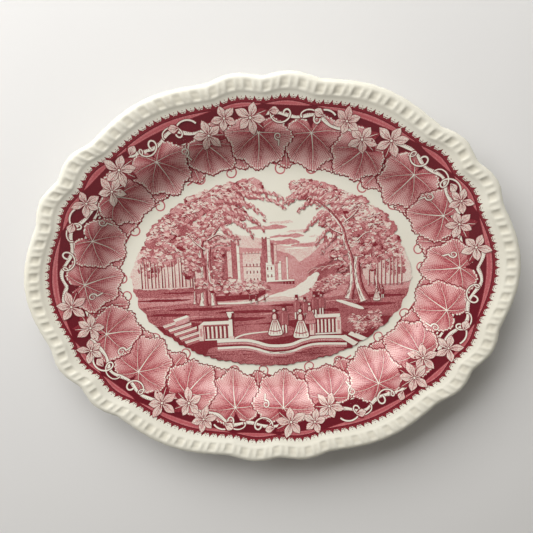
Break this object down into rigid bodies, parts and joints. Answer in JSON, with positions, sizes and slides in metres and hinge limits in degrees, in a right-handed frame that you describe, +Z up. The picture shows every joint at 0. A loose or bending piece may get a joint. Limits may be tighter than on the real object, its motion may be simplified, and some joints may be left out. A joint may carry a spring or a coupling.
{
  "type": "oval serving platter",
  "caption": "Oval earthenware serving platter with a shallow well, wide sloping rim, gadrooned lobed edge and low foot ring, under a clear ivory glaze.",
  "frame": {"origin": "on the table plane under the centre of the foot ring", "axes": "+X along the long axis, +Y across the platter towards the top of the printed scene, +Z up out of the well"},
  "size_m": [0.4, 0.3192, 0.034],
  "materials": {
    "bisque_clay": "matt fired clay, seen only on the wiped foot ring",
    "ivory_glaze": "glossy clear glaze over ivory clay, thin and toasted at the edge; carries the crimson transfer print in the visual model",
    "base_glaze": "glossy clear glaze, pooled inside the foot ring"
  },
  "bodies": {
    "root": {"earthenware_body": "bisque_clay", "glaze_coat": "ivory_glaze", "base_glaze": "base_glaze"}
  },
  "joints": []
}
